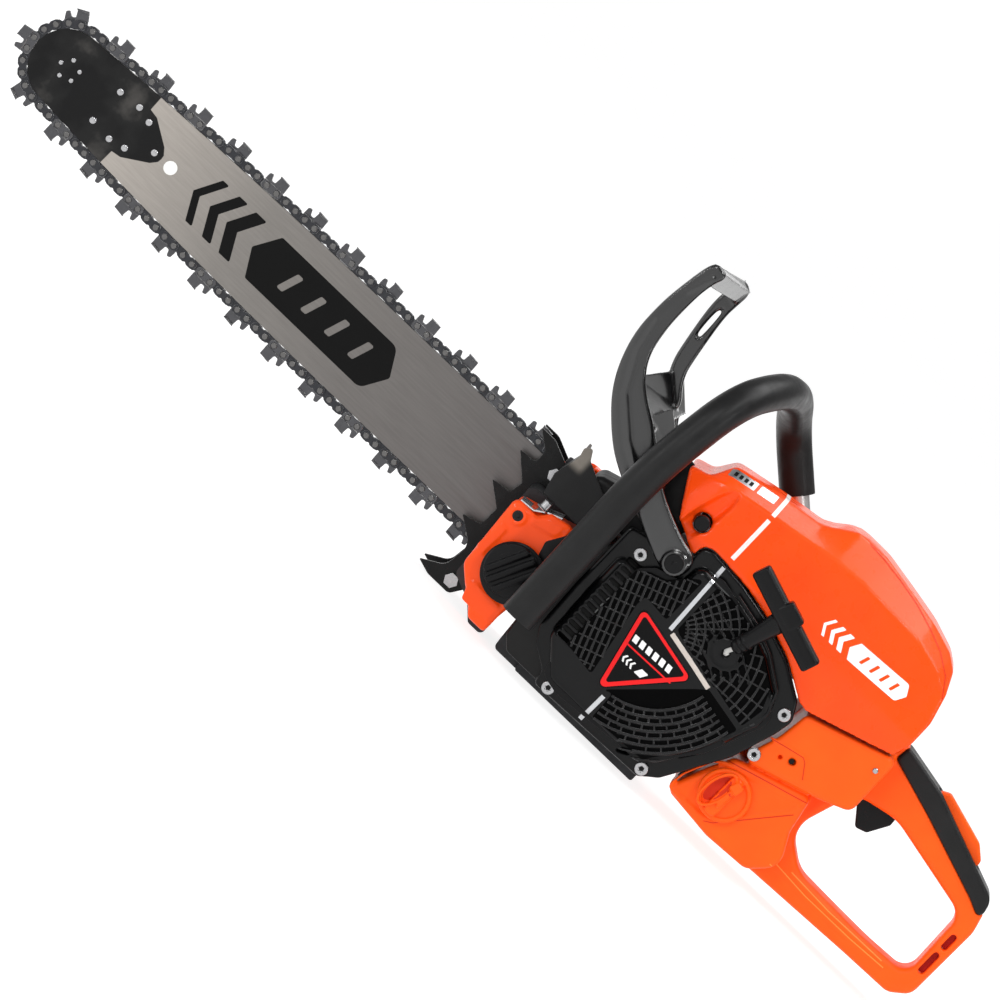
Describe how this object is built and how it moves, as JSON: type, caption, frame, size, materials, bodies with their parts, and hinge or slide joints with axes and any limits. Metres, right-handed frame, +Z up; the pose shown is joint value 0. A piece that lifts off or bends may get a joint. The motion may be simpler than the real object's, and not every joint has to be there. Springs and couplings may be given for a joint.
{
  "type": "chainsaw",
  "caption": "Petrol chainsaw with a long guide bar and chain, bumper spikes, recoil starter, wrap handle, hand guard and rear handle.",
  "frame": {"origin": "on the ground under the crankshaft axis, in the engine's centre plane", "axes": "+X towards the rear handle, -X towards the bar's nose; +Y towards the clutch and bar side; +Z up; crankshaft along Y"},
  "size_m": [0.9638, 0.2263, 0.3205],
  "materials": {
    "orange_shell": "semi-gloss orange moulding",
    "orange_tank": "fine-textured orange moulding",
    "orange_cap": "orange moulding",
    "black_gloss": "glossy black moulding",
    "black_plastic": "satin black moulding",
    "black_rubber": "satin rubber",
    "badge": "black plate with a red border and white bars",
    "magnesium": "grey-painted die-cast magnesium",
    "orange_case": "orange powder coat over die-cast magnesium",
    "cast_aluminium": "as-cast",
    "handle_tube": "bare drawn tube",
    "bar_steel": "ground, black-painted nose",
    "chain_steel": "oiled steel",
    "cutter_steel": "hard-chromed cutter",
    "dark_steel": "black-oxide steel",
    "machined_steel": "machined",
    "screw_steel": "zinc plated",
    "spike_paint": "black paint",
    "muffler_steel": "heat-tinted sheet steel",
    "filter_felt": "filter felt",
    "white_ceramic": "glazed insulator and plated shell",
    "rope": "braided nylon"
  },
  "bodies": {
    "saw": {"crankcase_left": "orange_case", "crankcase_right": "magnesium", "main_bearings": "machined_steel", "crank_pin": "machined_steel", "connecting_rod": "machined_steel", "piston": "cast_aluminium", "piston_rings": "dark_steel", "wrist_pin": "machined_steel", "cylinder": "cast_aluminium", "spark_plug": "white_ceramic", "spark_plug_boot": "black_rubber", "ignition_coil": "black_plastic", "recoil_spring": "dark_steel", "starter_cover": "black_gloss", "starter_badge": "badge", "starter_rope": "rope", "muffler": "muffler_steel", "muffler_shield": "muffler_steel", "intake_boot": "black_rubber", "carburettor": "cast_aluminium", "air_filter": "filter_felt", "top_cover": "orange_shell", "rear_handle": "orange_tank", "grip_pad": "black_rubber", "front_handle_tube": "handle_tube", "front_handle_grip": "black_rubber", "handle_bracket": "black_plastic", "clutch_drum": "machined_steel", "brake_band": "dark_steel", "rim_sprocket": "dark_steel", "oil_pump": "black_plastic", "clutch_cover": "orange_shell", "bar_nuts": "screw_steel", "spike_inner": "spike_paint", "spike_outer": "spike_paint", "guide_bar": "bar_steel", "nose_sprocket": "dark_steel", "chain_drive_links": "chain_steel", "chain_cutters_left": "cutter_steel", "chain_cutters_right": "cutter_steel", "chain_tie_straps": "chain_steel", "chain_rivets": "chain_steel", "body_screws": "screw_steel", "av_springs": "black_rubber"},
    "crank": {"crankshaft": "machined_steel", "flywheel": "cast_aluminium", "starter_pawls": "black_plastic", "clutch_hub": "dark_steel", "clutch_shoes": "dark_steel"},
    "grip": {"starter_grip": "black_plastic"},
    "reel": {"starter_reel": "black_plastic"},
    "guard": {"hand_guard": "black_gloss"},
    "trigger": {"throttle_trigger": "black_plastic"},
    "butterfly": {"throttle_valve": "machined_steel"},
    "lock": {"throttle_lock": "orange_cap"},
    "choke": {"choke_knob": "black_plastic"},
    "switch": {"stop_switch": "black_plastic"},
    "fuel_closure": {"fuel_cap": "orange_cap"},
    "oil_closure": {"oil_cap": "black_plastic"},
    "valve_button": {"decompression_valve": "black_plastic"}
  },
  "joints": [
    {"name": "crank_spin", "type": "hinge", "parent": "saw", "child": "crank", "pos_m": [0, 0, 0.0834], "axis": [0, 1, 0], "continuous": true},
    {"name": "grip_pull", "type": "slide", "parent": "saw", "child": "grip", "axis": [0.1798, -0.8989, 0.3995], "range_m": [0, 0.7], "stiffness_N_per_m": 15, "springref_m": -0.6},
    {"name": "reel_spin", "type": "hinge", "parent": "saw", "child": "reel", "pos_m": [0, 0, 0.0834], "axis": [0, 1, 0], "range_deg": [0, 2010]},
    {"name": "brake_tilt", "type": "hinge", "parent": "saw", "child": "guard", "pos_m": [-0.033, 0, 0.143], "axis": [0, -1, 0], "range_deg": [0, 12]},
    {"name": "trigger_squeeze", "type": "hinge", "parent": "saw", "child": "trigger", "pos_m": [0.192, 0, 0.118], "axis": [0, -1, 0], "range_deg": [0, 16], "stiffness_Nm_per_rad": 0.6, "springref_deg": -22.92},
    {"name": "throttle_turn", "type": "hinge", "parent": "saw", "child": "butterfly", "pos_m": [0.082, 0, 0.153], "axis": [0, 1, 0], "range_deg": [0, 72]},
    {"name": "lock_press", "type": "hinge", "parent": "saw", "child": "lock", "pos_m": [0.229, 0, 0.143], "axis": [0, 1, 0], "range_deg": [0, 8], "stiffness_Nm_per_rad": 0.5, "springref_deg": -22.92},
    {"name": "choke_pull", "type": "slide", "parent": "saw", "child": "choke", "axis": [0, 1, 0], "range_m": [0, 0.01]},
    {"name": "switch_slide", "type": "slide", "parent": "saw", "child": "switch", "axis": [-1, 0, 0], "range_m": [0, 0.004]},
    {"name": "fuel_cap_out", "type": "slide", "parent": "saw", "child": "fuel_closure", "axis": [0, -1, 0], "range_m": [0, 0.025]},
    {"name": "oil_cap_out", "type": "slide", "parent": "saw", "child": "oil_closure", "axis": [0, -1, 0], "range_m": [0, 0.025]},
    {"name": "valve_press", "type": "slide", "parent": "saw", "child": "valve_button", "axis": [0, 1, 0], "range_m": [0, 0.003]}
  ],
  "couplings": [
    {"joint": "reel_spin", "follows": "grip_pull", "rad_per_m": 50},
    {"joint": "throttle_turn", "follows": "trigger_squeeze", "ratio": 4.4}
  ]
}
